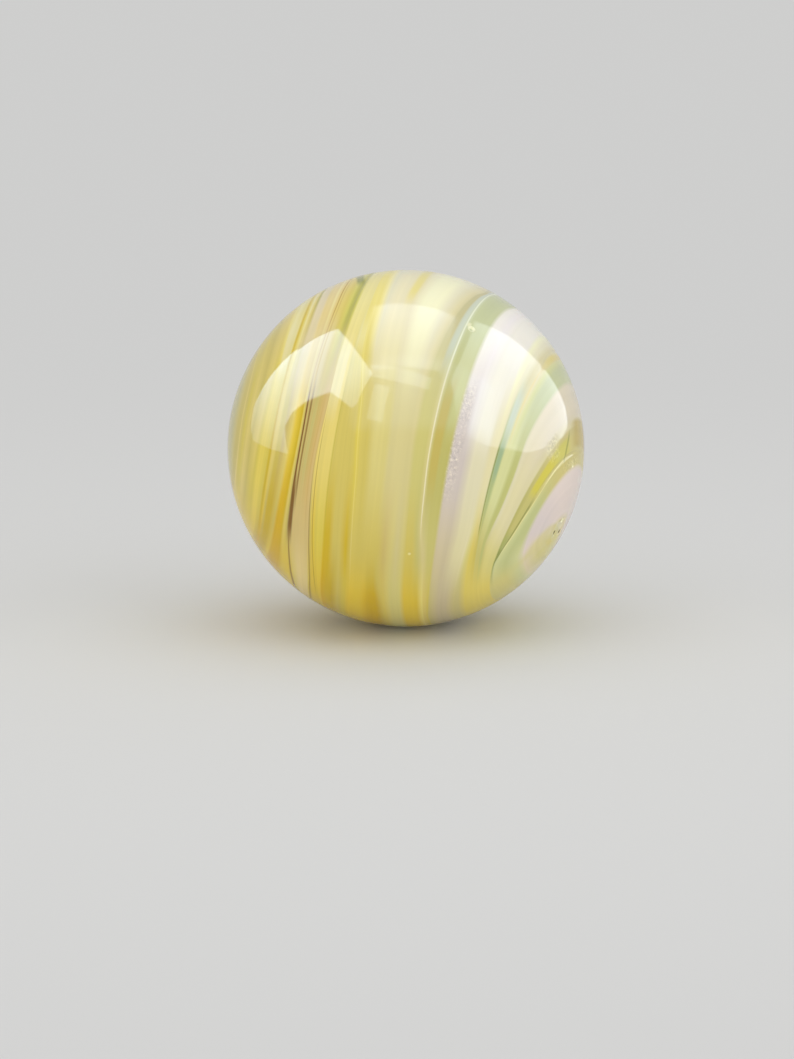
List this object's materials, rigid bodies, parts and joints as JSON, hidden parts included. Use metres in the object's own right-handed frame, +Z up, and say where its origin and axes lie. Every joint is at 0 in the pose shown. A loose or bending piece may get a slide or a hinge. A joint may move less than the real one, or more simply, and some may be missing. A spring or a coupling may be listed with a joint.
{
  "type": "glass marble",
  "caption": "Solid glass ball wound with bands of yellow, cream, green and lavender, with a fine raised thread, shallow cold folds and a small cut-off scar.",
  "frame": {"origin": "centre of the ball", "axes": "+Z up as the ball sits on a stand, -Y towards the front with the raised thread, +X towards the side with the cut-off mark"},
  "size_m": [0.025, 0.025, 0.025],
  "materials": {
    "banded_glass": "fire-polished gloss, opaque, in wound bands of yellow, cream, khaki, gold, green and lavender"
  },
  "bodies": {
    "root": {"marble": "banded_glass"}
  },
  "joints": []
}
